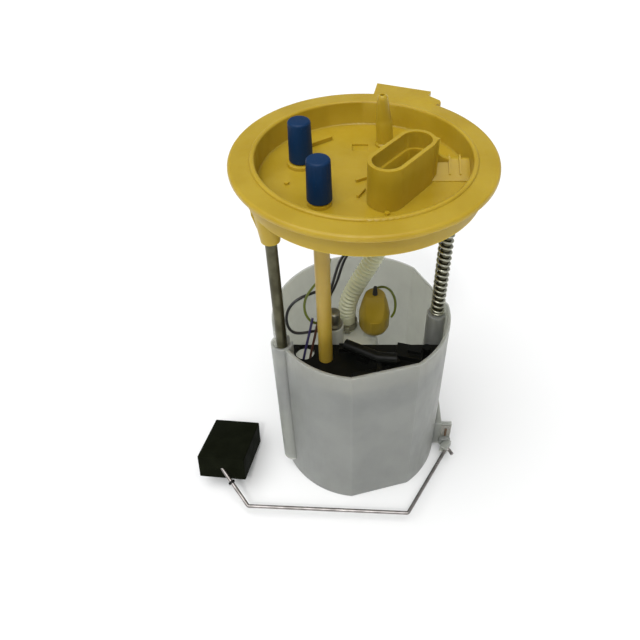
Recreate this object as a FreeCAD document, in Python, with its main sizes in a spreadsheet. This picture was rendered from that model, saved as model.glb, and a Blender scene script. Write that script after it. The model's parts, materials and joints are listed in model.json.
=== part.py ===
import FreeCAD, Part
import math
import os
import Sketcher

# In-tank electric fuel pump module: a yellow tank flange on two guide rods over a white reservoir pot.
# Frame: origin at the centre of the pot's bottom face, +Z up through the flange, front of the pot to -Y.
# All lengths are millimetres and all angles are degrees.

V = FreeCAD.Vector
doc = FreeCAD.newDocument("FuelPumpModule")
sheet = doc.addObject("Spreadsheet::Sheet", "Sizes")

SIZES = [
    ("potRadius", 57.0, "outside radius of the reservoir pot"),
    ("potHeight", 130.0, "pot rim above the bottom face"),
    ("potWall", 2.0, "pot wall thickness"),
    ("potFloor", 3.0, "pot floor thickness"),
    ("flatReach", 53.0, "axis to each moulded flat"),
    ("frontFlatAngle", -74.5, "direction of the front flat"),
    ("sideFlatAngle", 28.0, "direction of the rear right flat"),
    ("rodX", -48.6, "left guide rod, X"),
    ("rodY", -27.0, "left guide rod, Y"),
    ("springRodX", 49.5, "right guide rod, X"),
    ("springRodY", 5.5, "right guide rod, Y"),
    ("rodRadius", 3.25, "left rod radius"),
    ("springRodRadius", 3.0, "right rod radius"),
    ("rodPlay", 0.07, "radial play of a rod in its guide"),
    ("guideDrop", 6.4, "pot rim down to the top of both rod guides"),
    ("guideDepth", 12.0, "length of both rod guides"),
    ("channelRadius", 6.8, "outside radius of the left rod channel"),
    ("travel", 30.0, "how far the flange can be pushed down"),
    ("flangeLift", 112.8, "pot rim up to the top face of the flange rim"),
    ("flangeRadius", 70.0, "outside radius of the flange rim"),
    ("rimThickness", 3.5, "flange rim thickness"),
    ("collarRadius", 63.3, "collar that drops into the tank opening"),
    ("collarDepth", 16.3, "rim's top face down to the lower end of the collar"),
    ("lipRadius", 58.8, "outside radius of the raised lip"),
    ("lipHeight", 1.2, "raised lip above the rim"),
    ("wellRadius", 56.0, "inside radius of the flange well"),
    ("wellDepth", 12.8, "rim's top face down to the well floor"),
    ("nippleRadius", 4.0, "fuel nipple outside radius"),
    ("nippleLength", 21.5, "well floor up to the top of the fuel nipples"),
    ("frontNippleX", -22.2, "front nipple and stand-pipe, X"),
    ("frontNippleY", -26.0, "front nipple and stand-pipe, Y"),
    ("rearNippleX", -33.4, "rear nipple, X"),
    ("rearNippleY", 11.3, "rear nipple, Y"),
    ("capTopRadius", 6.0, "transit cap radius at the closed end"),
    ("capMouthRadius", 6.5, "transit cap radius at the mouth"),
    ("capLength", 22.5, "length of the transit caps"),
    ("capLift", 3.0, "well floor up to the mouth of the transit caps"),
    ("ventX", 12.7, "vent nipple at the well floor, X"),
    ("ventY", 32.6, "vent nipple, Y"),
    ("ventRadius", 4.6, "vent nipple stub radius"),
    ("ventLength", 29.2, "length of the vent nipple above the floor"),
    ("ventLean", 5.0, "lean of the vent nipple to the left"),
    ("socketX", 18.7, "electrical socket centre, X"),
    ("socketY", -13.45, "electrical socket centre, Y"),
    ("socketTurn", 52.7, "direction of the socket's long side"),
    ("socketHalf", 12.8, "centre to each round end of the socket"),
    ("socketRadius", 9.8, "outside radius of the socket ends"),
    ("socketWall", 2.0, "socket wall"),
    ("socketHeight", 23.0, "well floor up to the socket mouth"),
    ("pipeRadius", 4.35, "stand-pipe outside radius"),
    ("pumpX", -7.0, "pump axis, X"),
    ("pumpY", 8.0, "pump axis, Y"),
    ("pumpRadius", 19.0, "pump can outside radius"),
    ("canBottom", 24.0, "lower end of the pump can"),
    ("canTop", 88.0, "upper end of the pump can"),
    ("shaftRadius", 1.6, "pump shaft radius"),
    ("shaftPlay", 0.05, "radial play of the pump shaft"),
    ("hoseTopX", 13.0, "hose spigot under the flange, X"),
    ("hoseTopY", 20.0, "hose spigot under the flange, Y"),
    ("hoseRadius", 6.0, "hose outside radius"),
    ("coverDrop", 15.0, "pot rim down to the top face of the black cover"),
    ("coverEdge", -15.0, "straight rear edge of the cover, Y"),
    ("armRadius", 1.25, "float arm wire radius"),
    ("armHeight", 9.0, "height of the float arm at rest"),
    ("pivotX", 64.0, "float arm pivot, X"),
    ("floatLength", 43.3, "float length"),
    ("floatWidth", 33.6, "float width"),
    ("floatThick", 18.2, "float thickness"),
    ("springWire", 1.5, "return spring wire"),
    ("springRadius", 3.85, "return spring mean radius"),
    ("springPitch", 4.3, "return spring pitch"),
]


class Size:
    """A length or an angle together with the sheet formula that gives it."""

    def __init__(self, value, formula=None):
        self.value = float(value)
        self.formula = formula
        self.text = formula if formula else ("%.6f" % self.value)

    def join(self, other, sign, value):
        other = as_size(other)
        if not self.formula and not other.formula:
            return Size(value)
        return Size(value, "(%s %s %s)" % (self.text, sign, other.text))

    def __add__(self, other):
        return self.join(other, "+", self.value + as_size(other).value)

    def __radd__(self, other):
        return as_size(other) + self

    def __sub__(self, other):
        return self.join(other, "-", self.value - as_size(other).value)

    def __rsub__(self, other):
        return as_size(other) - self

    def __mul__(self, other):
        return self.join(other, "*", self.value * as_size(other).value)

    def __rmul__(self, other):
        return as_size(other) * self

    def __truediv__(self, other):
        return self.join(other, "/", self.value / as_size(other).value)

    def __neg__(self):
        return Size(0) - self


def as_size(number):
    """Lets plain numbers and sizes be mixed."""
    return number if isinstance(number, Size) else Size(number)


S = {}
for row, (alias, value, words) in enumerate(SIZES, start=1):
    sheet.set("A%d" % row, words)
    sheet.set("B%d" % row, str(value))
    sheet.setAlias("B%d" % row, alias)
    S[alias] = Size(value, "Sizes." + alias)
doc.recompute()

# Levels that follow from the sizes above, so that a taller pot carries everything over it.
S["guideTop"] = S["potHeight"] - S["guideDrop"]
S["coverTop"] = S["potHeight"] - S["coverDrop"]
S["flangeTop"] = S["potHeight"] + S["flangeLift"]
S["collarBottom"] = S["flangeTop"] - S["collarDepth"]
S["wellFloor"] = S["flangeTop"] - S["wellDepth"]
S["nippleTop"] = S["wellFloor"] + S["nippleLength"]
S["capBottom"] = S["wellFloor"] + S["capLift"]
S["capTop"] = S["capBottom"] + S["capLength"]
S["socketTop"] = S["wellFloor"] + S["socketHeight"]

bodies = []


def bind(thing, name, size):
    """Ties one property of a feature to the sheet."""
    size = as_size(size)
    if size.formula:
        thing.setExpression(name, size.formula)


def body(label, x=0, y=0, z=0, turn=0):
    """Starts one separate part of the module, placed in the common frame."""
    part = doc.addObject("PartDesign::Body", label)
    part.Label = label
    spot = [as_size(value) for value in (x, y, z)]
    rotation = FreeCAD.Rotation(V(0, 0, 1), as_size(turn).value)
    part.Placement = FreeCAD.Placement(V(*[s.value for s in spot]), rotation)
    for axis, size in zip("xyz", spot):
        bind(part, "Placement.Base." + axis, size)
    bodies.append(part)
    return part


def place(feature, part, plane, x, y, z, turn):
    """Fastens a sketch or a primitive to one of the body's base planes."""
    planes = part.Origin.OriginFeatures
    feature.AttachmentSupport = [(item, "") for item in planes if item.Role == plane + "_Plane"]
    feature.MapMode = "FlatFace"
    spot = [as_size(value) for value in (x, y, z)]
    turn = as_size(turn)
    rotation = FreeCAD.Rotation(V(0, 0, 1), turn.value)
    feature.AttachmentOffset = FreeCAD.Placement(V(*[s.value for s in spot]), rotation)
    for axis, size in zip("xyz", spot):
        bind(feature, "AttachmentOffset.Base." + axis, size)
    bind(feature, "AttachmentOffset.Rotation.Angle", turn)


def sketch(part, plane="XY", x=0, y=0, z=0, turn=0):
    """Opens a sketch on a base plane, shifted by x and y in the plane and z along its normal."""
    drawing = doc.addObject("Sketcher::SketchObject", part.Name + "_sketch")
    part.addObject(drawing)
    place(drawing, part, plane, x, y, z, turn)
    return drawing


def hold(drawing, kind, first, size):
    """Adds one driving dimension to a sketch."""
    size = as_size(size)
    index = drawing.addConstraint(Sketcher.Constraint(kind, *first, size.value))
    if size.formula:
        drawing.setExpression("Constraints[%d]" % index, size.formula)


def pin_point(drawing, shape, end, x, y):
    """Fixes a point of the sketch at x, y from the sketch's origin."""
    for kind, axis, size in (("DistanceX", -2, as_size(x)), ("DistanceY", -1, as_size(y))):
        if size.value == 0 and not size.formula:
            drawing.addConstraint(Sketcher.Constraint("PointOnObject", shape, end, axis))
        elif size.value < 0:
            hold(drawing, kind, (shape, end, -1, 1), -size)
        else:
            hold(drawing, kind, (-1, 1, shape, end), size)


def outline(drawing, points):
    """Draws a closed straight-sided outline through the given corners."""
    corners = [V(as_size(x).value, as_size(y).value, 0) for x, y in points]
    count = len(corners)
    first = drawing.GeometryCount
    for i in range(count):
        drawing.addGeometry(Part.LineSegment(corners[i], corners[(i + 1) % count]), False)
    for i in range(count):
        following = first + (i + 1) % count
        drawing.addConstraint(Sketcher.Constraint("Coincident", first + i, 2, following, 1))
    for i, (x, y) in enumerate(points):
        pin_point(drawing, first + i, 1, x, y)


def circle(drawing, x, y, radius):
    """Draws one circle."""
    centre = V(as_size(x).value, as_size(y).value, 0)
    index = drawing.addGeometry(Part.Circle(centre, V(0, 0, 1), as_size(radius).value), False)
    pin_point(drawing, index, 3, x, y)
    hold(drawing, "Radius", (index,), radius)


def finish(feature, part, kind, before):
    """Recomputes and makes sure that the feature added or removed material as meant."""
    doc.recompute()
    if "Invalid" in feature.State or feature.Shape.isNull():
        raise RuntimeError("%s of %s failed" % (feature.Name, part.Label))
    grown = feature.Shape.Volume - before
    if (kind == "cut" and grown > -1e-6) or (kind == "add" and grown < 1e-6):
        raise RuntimeError("%s of %s changed %.4f mm3" % (feature.Name, part.Label, grown))
    return feature


def volume(part):
    """Volume of the body so far."""
    doc.recompute()
    return part.Shape.Volume if part.Tip and not part.Shape.isNull() else 0.0


def extrude(part, drawing, height, cut=False):
    """Raises a pad from the sketch, or sinks a pocket, along the sketch's normal."""
    before = volume(part)
    feature = doc.addObject("PartDesign::Pocket" if cut else "PartDesign::Pad", part.Name + "_step")
    part.addObject(feature)
    feature.Profile = drawing
    feature.Length = as_size(height).value
    bind(feature, "Length", height)
    feature.Reversed = bool(cut)
    drawing.Visibility = False
    return finish(feature, part, "cut" if cut else "add", before)


def turned(part, points, x=0, y=0, cut=False, level=0, lean=0):
    """Turns a radius-height outline about an axis through x, y, upright or leaning to -X from one level."""
    before = volume(part)
    drawing = sketch(part, "XZ", x, level, -as_size(y), lean)
    outline(drawing, points)
    feature = doc.addObject("PartDesign::Groove" if cut else "PartDesign::Revolution", part.Name + "_turn")
    part.addObject(feature)
    feature.Profile = drawing
    feature.ReferenceAxis = (drawing, ["V_Axis"])
    feature.Angle = 360
    drawing.Visibility = False
    return finish(feature, part, "cut" if cut else "add", before)


def primitive(part, kind, cut, sizes, x, y, z, turn=0):
    """Adds or removes one simple solid standing on the level z."""
    before = volume(part)
    family = "Subtractive" if cut else "Additive"
    feature = doc.addObject("PartDesign::" + family + kind, part.Name + "_" + kind)
    part.addObject(feature)
    place(feature, part, "XY", x, y, z, turn)
    for name, size in sizes.items():
        setattr(feature, name, as_size(size).value)
        bind(feature, name, size)
    return finish(feature, part, "cut" if cut else "add", before)


def drum(part, x, y, z, radius, height, cut=False):
    """A round pillar or a round hole."""
    return primitive(part, "Cylinder", cut, {"Radius": radius, "Height": height}, x, y, z)


def cone(part, x, y, z, lower, upper, height, cut=False):
    """A tapered pillar or hole."""
    return primitive(part, "Cone", cut, {"Radius1": lower, "Radius2": upper, "Height": height}, x, y, z)


def block(part, x, y, z, length, width, height, cut=False, turn=0):
    """A rectangular block centred on x, y and standing on z, turned about its own centre."""
    length, width = as_size(length), as_size(width)
    drawing = sketch(part, "XY", x, y, z, turn)
    half, deep = length / 2, width / 2
    outline(drawing, [(-half, -deep), (half, -deep), (half, deep), (-half, deep)])
    return extrude(part, drawing, height, cut)


def flatted(drawing, radius, reach, angles):
    """Draws a circle about the origin with straight flats in the given directions."""
    r, d = as_size(radius), as_size(reach)
    half = math.degrees(math.acos(d.value / r.value))
    angles = sorted(angles, key=lambda size: size.value)
    count = len(angles)
    lines = []
    arcs = []
    for i, angle in enumerate(angles):
        a0 = math.radians(angle.value - half)
        a1 = math.radians(angle.value + half)
        following = angles[(i + 1) % count].value + (360 if i + 1 == count else 0)
        a2 = math.radians(following - half)
        start = V(r.value * math.cos(a0), r.value * math.sin(a0), 0)
        end = V(r.value * math.cos(a1), r.value * math.sin(a1), 0)
        lines.append(drawing.addGeometry(Part.LineSegment(start, end), False))
        whole = Part.Circle(V(0, 0, 0), V(0, 0, 1), r.value)
        arcs.append(drawing.addGeometry(Part.ArcOfCircle(whole, a1, a2), False))
    for i, angle in enumerate(angles):
        drawing.addConstraint(Sketcher.Constraint("Coincident", lines[i], 2, arcs[i], 1))
        drawing.addConstraint(Sketcher.Constraint("Coincident", arcs[i], 2, lines[(i + 1) % count], 1))
        drawing.addConstraint(Sketcher.Constraint("Coincident", arcs[i], 3, -1, 1))
        hold(drawing, "Radius", (arcs[i],), r)
        hold(drawing, "Distance", (-1, 1, lines[i]), d)
        slope = Size(math.radians(angle.value + 90), "((%s + 90) * 1 deg)" % angle.text)
        hold(drawing, "Angle", (-1, 1, lines[i], 1), slope)


def bent_path(drawing, corners, bend):
    """Draws a centre line with rounded bends through the given corners."""
    points = [V(as_size(x).value, as_size(y).value, 0) for x, y in corners]
    bend = as_size(bend)
    starts = [points[0]]
    ends = []
    arcs = []
    for i in range(1, len(points) - 1):
        before = (points[i] - points[i - 1]).normalize()
        after = (points[i + 1] - points[i]).normalize()
        turn = math.atan2(before.cross(after).z, before.dot(after))
        back = bend.value * math.tan(abs(turn) / 2)
        first = points[i] - before * back
        last = points[i] + after * back
        side = 1 if turn > 0 else -1
        centre = first + V(-before.y, before.x, 0) * (bend.value * side)
        low = math.atan2(first.y - centre.y, first.x - centre.x)
        if side < 0:
            low = math.atan2(last.y - centre.y, last.x - centre.x)
        arcs.append((centre, low, low + abs(turn), side))
        ends.append(first)
        starts.append(last)
    ends.append(points[-1])
    lines = []
    curves = []
    for i in range(len(starts)):
        lines.append(drawing.addGeometry(Part.LineSegment(starts[i], ends[i]), False))
        if i < len(arcs):
            centre, low, high, side = arcs[i]
            ring = Part.Circle(centre, V(0, 0, 1), bend.value)
            curves.append(drawing.addGeometry(Part.ArcOfCircle(ring, low, high), False))
    for i, (centre, low, high, side) in enumerate(arcs):
        entry, leave = (1, 2) if side > 0 else (2, 1)
        drawing.addConstraint(Sketcher.Constraint("Tangent", lines[i], 2, curves[i], entry))
        drawing.addConstraint(Sketcher.Constraint("Tangent", curves[i], leave, lines[i + 1], 1))
        hold(drawing, "Radius", (curves[i],), bend)
        corner = drawing.addGeometry(Part.Point(points[i + 1]), True)
        drawing.addConstraint(Sketcher.Constraint("PointOnObject", corner, 1, lines[i]))
        drawing.addConstraint(Sketcher.Constraint("PointOnObject", corner, 1, lines[i + 1]))
        pin_point(drawing, corner, 1, *corners[i + 1])
    pin_point(drawing, lines[0], 1, *corners[0])
    pin_point(drawing, lines[-1], 2, *corners[-1])
    return len(lines) + len(curves)


def piped(part, plane, corners, bend, radius, bore=None, shift=0):
    """Sweeps a round section along a bent centre line in the given plane."""
    before = volume(part)
    path = sketch(part, plane, 0, 0, shift)
    count = bent_path(path, corners, bend)
    doc.recompute()
    section = doc.addObject("Sketcher::SketchObject", part.Name + "_section")
    part.addObject(section)
    section.AttachmentSupport = [(path, "Edge1")]
    section.MapMode = "NormalToEdge"
    circle(section, 0, 0, radius)
    if bore is not None:
        circle(section, 0, 0, bore)
    feature = doc.addObject("PartDesign::AdditivePipe", part.Name + "_pipe")
    part.addObject(feature)
    feature.Profile = section
    feature.Spine = (path, ["Edge%d" % (i + 1) for i in range(count)])
    path.Visibility = False
    section.Visibility = False
    return finish(feature, part, "add", before)


def soften(part, radius, wanted, chamfer=False):
    """Rounds or bevels those edges of the body that the test picks."""
    base = part.Tip
    names = ["Edge%d" % (i + 1) for i, edge in enumerate(base.Shape.Edges) if wanted(edge)]
    feature = doc.addObject("PartDesign::Chamfer" if chamfer else "PartDesign::Fillet", part.Name + "_soft")
    part.addObject(feature)
    feature.Base = (base, names)
    if chamfer:
        feature.Size = as_size(radius).value
        bind(feature, "Size", radius)
    else:
        feature.Radius = as_size(radius).value
        bind(feature, "Radius", radius)
    return finish(feature, part, "cut" if chamfer else "any", 0)


def ring_at(radius, height):
    """Test for a full circular edge of one radius at one height."""
    def wanted(edge):
        curve = edge.Curve
        same = isinstance(curve, Part.Circle) and abs(curve.Radius - radius.value) < 0.01
        return same and abs(curve.Center.z - height.value) < 0.01
    return wanted


def tube(part, inner, outer, low, high, x=0, y=0):
    """A plain ring or sleeve."""
    return turned(part, [(inner, low), (outer, low), (outer, high), (inner, high)], x, y)


# Flange: one yellow moulding with the rim, the well, the nipples, the socket and the rod bosses.
flange = body("flange")
floor = S["wellFloor"]
under = S["collarBottom"]
top = S["flangeTop"]
rim_under = top - S["rimThickness"]
turned(flange, [
    (0, under),
    (S["wellRadius"] + 1.5, under),
    (S["wellRadius"] + 1.5, rim_under - 2),
    (S["collarRadius"] - 2.6, rim_under - 2),
    (S["collarRadius"] - 2.6, under),
    (S["collarRadius"], under),
    (S["collarRadius"], rim_under),
    (S["flangeRadius"], rim_under),
    (S["flangeRadius"], top),
    (S["lipRadius"], top),
    (S["lipRadius"], top + S["lipHeight"]),
    (S["wellRadius"], top + S["lipHeight"]),
    (S["wellRadius"], floor),
    (0, floor),
])
soften(flange, 1.9, ring_at(S["flangeRadius"], top))
soften(flange, 0.9, ring_at(S["flangeRadius"], rim_under))
soften(flange, 1.15, ring_at(S["lipRadius"], top + S["lipHeight"]))
soften(flange, 1.15, ring_at(S["wellRadius"], top + S["lipHeight"]))
soften(flange, 1.0, ring_at(S["wellRadius"], floor))
ear = sketch(flange, "XY", 0, 0, rim_under)
outline(ear, [(6.5, 66.0), (42.0, 55.0), (45.4, 57.0), (45.2, 59.8), (42.2, 62.8), (38.9, 66.0),
              (41.0, 71.3), (9.4, 82.5)])
extrude(flange, ear, S["rimThickness"])

# Fuel nipples: plain stub, retaining bead and a lead-in taper, each with a bore through the floor.
for name, base in (("front", 2.1), ("rear", 3.6)):
    x, y = S[name + "NippleX"], S[name + "NippleY"]
    r = S["nippleRadius"]
    tip = S["nippleTop"]
    turned(flange, [
        (0, floor - 1),
        (r + base, floor - 1),
        (r + base, S["capBottom"] - 1.0),
        (r, S["capBottom"] - 0.4),
        (r, tip - 8),
        (r + 0.9, tip - 7.4),
        (r + 0.9, tip - 6.2),
        (r, tip - 5.6),
        (r - 0.2, tip - 1),
        (r - 1, tip),
        (0, tip),
    ], x, y)
vent = S["ventRadius"]
reach = S["ventLength"]
turned(flange, [
    (0, -1),
    (vent + 1.0, -1),
    (vent + 1.0, 1.4),
    (vent, 2.2),
    (vent, reach / 2 - 1.0),
    (vent - 0.3, reach / 2 - 0.4),
    (2.8, reach - 1.2),
    (1.9, reach),
    (0, reach),
], S["ventX"], S["ventY"], level=floor, lean=S["ventLean"])

# Electrical socket: an oblong shroud open at the top, with a keyed ledge inside.
half = S["socketHalf"]


def oblong(drawing, radius):
    """Draws the socket's round-ended outline at one radius."""
    r = as_size(radius)
    right, left = V(half.value, 0, 0), V(-half.value, 0, 0)
    up = V(0, r.value, 0)
    turn = math.pi / 2
    a = drawing.addGeometry(Part.ArcOfCircle(Part.Circle(right, V(0, 0, 1), r.value), -turn, turn), False)
    b = drawing.addGeometry(Part.LineSegment(right + up, left + up), False)
    c = drawing.addGeometry(Part.ArcOfCircle(Part.Circle(left, V(0, 0, 1), r.value), turn, 3 * turn), False)
    d = drawing.addGeometry(Part.LineSegment(left - up, right - up), False)
    for one, two in ((a, b), (b, c), (c, d), (d, a)):
        drawing.addConstraint(Sketcher.Constraint("Tangent", one, 2, two, 1))
    hold(drawing, "Radius", (a,), r)
    pin_point(drawing, a, 3, half, 0)
    pin_point(drawing, c, 3, -half, 0)


def socket_sketch(part, level):
    """Opens a sketch in the socket's own direction at one height."""
    return sketch(part, "XY", S["socketX"], S["socketY"], level, S["socketTurn"])


shroud = socket_sketch(flange, floor - 1)
oblong(shroud, S["socketRadius"])
extrude(flange, shroud, S["socketTop"] - floor + 1)
nib = socket_sketch(flange, floor - 1)
edge = S["socketRadius"]
outline(nib, [(half + 2.8, 1.0 - edge), (half + 7.6, 1.0 - edge), (half + 7.6, 6.0 - edge),
              (half + 2.8, 6.0 - edge)])
extrude(flange, nib, S["socketTop"] - floor + 1)

# Sloped web and ramp between the socket's rear end and the well wall, with two thin ribs on the ramp.
ramp = sketch(flange, "YZ", 0, 0, 31)
outline(ramp, [(-6, floor - 1), (7, floor - 1), (7, floor + 6.5), (5.4, floor + 6.5), (-6, floor + 0.5)])
extrude(flange, ramp, S["wellRadius"] - 31)
for offset in (44.6, 50.2):
    rib = sketch(flange, "YZ", 0, 0, offset)
    outline(rib, [(-3, floor - 1), (7.8, floor - 1), (7.8, floor + 8), (6.2, floor + 8), (3, floor + 6.4),
                  (-3, floor + 2.8)])
    extrude(flange, rib, 1.0)
web = sketch(flange, "XZ", 0, 0, -6)
outline(web, [(31, floor - 1), (45, floor - 1), (45, floor + 7.2), (41.5, floor + 8.4), (38, floor + 11),
              (35.5, floor + 15.5), (31, floor + 17)])
extrude(flange, web, 2.2)

cavity = socket_sketch(flange, floor + 14)
oblong(cavity, S["socketRadius"] - S["socketWall"])
extrude(flange, cavity, S["socketTop"] - floor, cut=True)
pit = socket_sketch(flange, floor + 3)
oblong(pit, S["socketRadius"] - S["socketWall"] - 1.5)
extrude(flange, pit, S["socketTop"] - floor, cut=True)

# Small marks of the moulding in the well: ejector pips, a square sink and a low rib ring.
for x, y in ((34.0, -30.0), (11.0, -34.8), (-6.0, -44.0), (-40.0, -8.0)):
    drum(flange, x, y, floor - 1, 1.3, 2.2)
block(flange, -1.5, 29, floor - 1, 9, 7, 2, cut=True)
block(flange, -0.5, -4.5, floor - 1, 8, 1.2, 2.6, turn=28)
block(flange, -1.5, -17.5, floor - 1, 8, 1.2, 2.6, turn=62)
block(flange, -24, 33, floor - 1, 16, 1.4, 3.4, turn=35)
block(flange, 36, 22, floor - 1, 14, 1.4, 3.4, turn=-50)

# Under the floor: left rod boss with gussets, spring cup, hose spigot and stand-pipe socket.
boss = under - 18.5
x, y = S["rodX"], S["rodY"]
cone(flange, x, y, boss, 5.2, 7.6, under + 1 - boss)
for side in (-1, 1):
    gusset = sketch(flange, "XZ", x, 0, -y - 1.0)
    outline(gusset, [(0, under - 17), (side * 5.0, under - 15), (side * 8.4, under - 2),
                     (side * 8.4, under + 1), (0, under + 1)])
    extrude(flange, gusset, 2.0)
brace = sketch(flange, "YZ", y, 0, x - 1.0)
outline(brace, [(0, under - 17), (5.0, under - 15), (15.0, under - 2), (15.0, under + 1), (0, under + 1)])
extrude(flange, brace, 2.0)
drum(flange, x, y, boss - 1, S["rodRadius"], under - boss - 1, cut=True)
x, y = S["springRodX"], S["springRodY"]
cup = S["springRadius"] + S["springWire"] / 2 + 0.45
turned(flange, [(cup, under - 6), (cup + 1.7, under - 6), (cup + 2.3, under + 1), (cup, under + 1)], x, y)
drum(flange, x, y, under - 1, S["springRodRadius"], 3, cut=True)
turned(flange, [(0, under - 13), (S["hoseRadius"] - 2.2, under - 13), (S["hoseRadius"] - 1.4, under - 9),
                (S["hoseRadius"] - 1.4, under + 1), (0, under + 1)], S["hoseTopX"], S["hoseTopY"])
turned(flange, [(0, under - 9), (S["pipeRadius"] + 1.7, under - 9), (S["pipeRadius"] + 2.4, under + 1),
                (0, under + 1)], S["frontNippleX"], S["frontNippleY"])
drum(flange, S["frontNippleX"], S["frontNippleY"], under - 10, S["pipeRadius"], 9, cut=True)
drum(flange, S["frontNippleX"], S["frontNippleY"], under - 2, 2.6, S["nippleTop"] - under + 3, cut=True)
drum(flange, S["rearNippleX"], S["rearNippleY"], under - 2, 2.6, S["nippleTop"] - under + 3, cut=True)
turned(flange, [(0, -6), (1.3, -6), (1.3, reach + 1), (0, reach + 1)], S["ventX"], S["ventY"], True,
       floor, S["ventLean"])
drum(flange, S["hoseTopX"], S["hoseTopY"], under - 14, 2.2, 13, cut=True)
feed = socket_sketch(flange, under - 5)
outline(feed, [(-11, -4), (11, -4), (11, 4), (-11, 4)])
extrude(flange, feed, 6)

# Contact blades: four tinned tabs standing in the pit below the socket's ledge.
for number, offset in enumerate((-9.0, -3.0, 3.0, 9.0), start=1):
    blade = body("contact_blade_%d" % number)
    face = socket_sketch(blade, floor + 3)
    outline(face, [(offset - 1.4, -0.4), (offset + 1.4, -0.4), (offset + 1.4, 0.4), (offset - 1.4, 0.4)])
    extrude(blade, face, 6)
    tail = socket_sketch(blade, floor + 9)
    outline(tail, [(offset - 1, -0.25), (offset + 1, -0.25), (offset + 1, 0.25), (offset - 1, 0.25)])
    extrude(blade, tail, 0.8)

# Guide rods and the clips that stop the flange from pulling off the pot.
guide_bottom = S["guideTop"] - S["guideDepth"]
for side, x, y, r, high in (("left", S["rodX"], S["rodY"], S["rodRadius"], under - 2),
                            ("right", S["springRodX"], S["springRodY"], S["springRodRadius"], under + 2)):
    rod = body("guide_rod_" + side, x, y)
    turned(rod, [
        (0, guide_bottom - 8),
        (r - 0.6, guide_bottom - 8),
        (r, guide_bottom - 7.2),
        (r, guide_bottom - 1.9),
        (r - 0.6, guide_bottom - 1.9),
        (r - 0.6, guide_bottom - 0.8),
        (r, guide_bottom - 0.8),
        (r, high - 0.6),
        (r - 0.6, high),
        (0, high),
    ])
    clip = body("rod_clip_" + side, x, y)
    tube(clip, r - 0.6, r + 1.0, guide_bottom - 1.8, guide_bottom - 0.9)
    block(clip, 0, -(r + 1), guide_bottom - 2.5, 2.4, 5, 3, cut=True)

# Return spring around the right rod: the coil is swept on a helix from the guide to the flange.
side = S["springWire"] / 2
seat_gap = side + 0.4
spring = body("return_spring", S["springRodX"], S["springRodY"], S["guideTop"] + seat_gap)
wire = sketch(spring, "XZ")
outline(wire, [(S["springRadius"] - side, 0), (S["springRadius"], -side), (S["springRadius"] + side, 0),
               (S["springRadius"], side)])
coil = doc.addObject("PartDesign::AdditiveHelix", "return_spring_coil")
spring.addObject(coil)
coil.Profile = wire
coil.ReferenceAxis = (wire, ["V_Axis"])
coil.Mode = "pitch-height-angle"
coil.Pitch = S["springPitch"].value
coil.Height = (under - S["guideTop"] - seat_gap * 2).value
bind(coil, "Pitch", S["springPitch"])
bind(coil, "Height", under - S["guideTop"] - seat_gap * 2)
wire.Visibility = False
finish(coil, spring, "add", 0)

# Stand-pipe: the rigid return tube pressed into its socket under the front nipple.
stand = body("stand_pipe", S["frontNippleX"], S["frontNippleY"])
tube(stand, 3.0, S["pipeRadius"], S["coverTop"] - 9, under - 2)

# Transit caps: soft blue sleeves, slightly wider at the mouth.
for name in ("front", "rear"):
    cap = body("cap_" + name, S[name + "NippleX"], S[name + "NippleY"])
    turned(cap, [
        (0, S["capTop"] - 2.2),
        (S["nippleRadius"] + 1.3, S["capTop"] - 2.2),
        (S["nippleRadius"] + 1.3, S["capBottom"]),
        (S["capMouthRadius"], S["capBottom"]),
        (S["capTopRadius"], S["capTop"] - 0.8),
        (S["capTopRadius"] - 0.8, S["capTop"]),
        (0, S["capTop"]),
    ])

# Reservoir pot: hollow white moulding with two flats, the rod channel and the spring-rod post.
pot = body("reservoir_pot")
flats = [S["frontFlatAngle"], S["sideFlatAngle"]]
shell = sketch(pot)
flatted(shell, S["potRadius"], S["flatReach"], flats)
extrude(pot, shell, S["potHeight"])
hollow = sketch(pot, "XY", 0, 0, S["potFloor"])
flatted(hollow, S["potRadius"] - S["potWall"], S["flatReach"] - S["potWall"], flats)
extrude(pot, hollow, S["potHeight"], cut=True)
drum(pot, S["rodX"], S["rodY"], 12, S["channelRadius"], S["potHeight"] - 12)
well_low = guide_bottom - S["travel"] - 14
drum(pot, S["rodX"], S["rodY"], well_low, S["channelRadius"] - 1.6, guide_bottom - well_low, cut=True)
drum(pot, S["rodX"], S["rodY"], S["guideTop"], S["channelRadius"] - 1.6, 20, cut=True)
drum(pot, S["rodX"], S["rodY"], guide_bottom - 1, S["rodRadius"] + S["rodPlay"], 20, cut=True)
mouth = guide_bottom - well_low - 5
block(pot, S["rodX"] + 5.2, S["rodY"] + 2.9, well_low + 4, 8, 5, mouth, cut=True, turn=29)
block(pot, S["rodX"] + 5.2, S["rodY"] + 2.9, S["guideTop"], 8, 5, 20, cut=True, turn=29)
drum(pot, S["springRodX"], S["springRodY"], S["potFloor"] - 1, 6.4, S["guideTop"] - S["potFloor"] + 1)
drum(pot, S["springRodX"], S["springRodY"], well_low, 4.6, guide_bottom - well_low, cut=True)
spring_bore = S["springRodRadius"] + S["rodPlay"]
drum(pot, S["springRodX"], S["springRodY"], guide_bottom - 1, spring_bore, 20, cut=True)

# Pot details: pump seat ring, cover posts, drain windows and the vertical strengthening ribs.
turned(pot, [(14.0, S["potFloor"] - 1), (22.6, S["potFloor"] - 1), (22.6, 16), (20.8, 16), (20.8, 8),
             (14.0, 8)], S["pumpX"], S["pumpY"])
for x, y in ((-33.0, -34.0), (36.0, -30.0), (4.0, -45.0)):
    drum(pot, x, y, S["potFloor"] - 1, 3.0, S["coverTop"] - 3.3 - S["potFloor"] + 1)
drum(pot, S["pumpX"], S["pumpY"], -1, 6, 20, cut=True)

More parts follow.
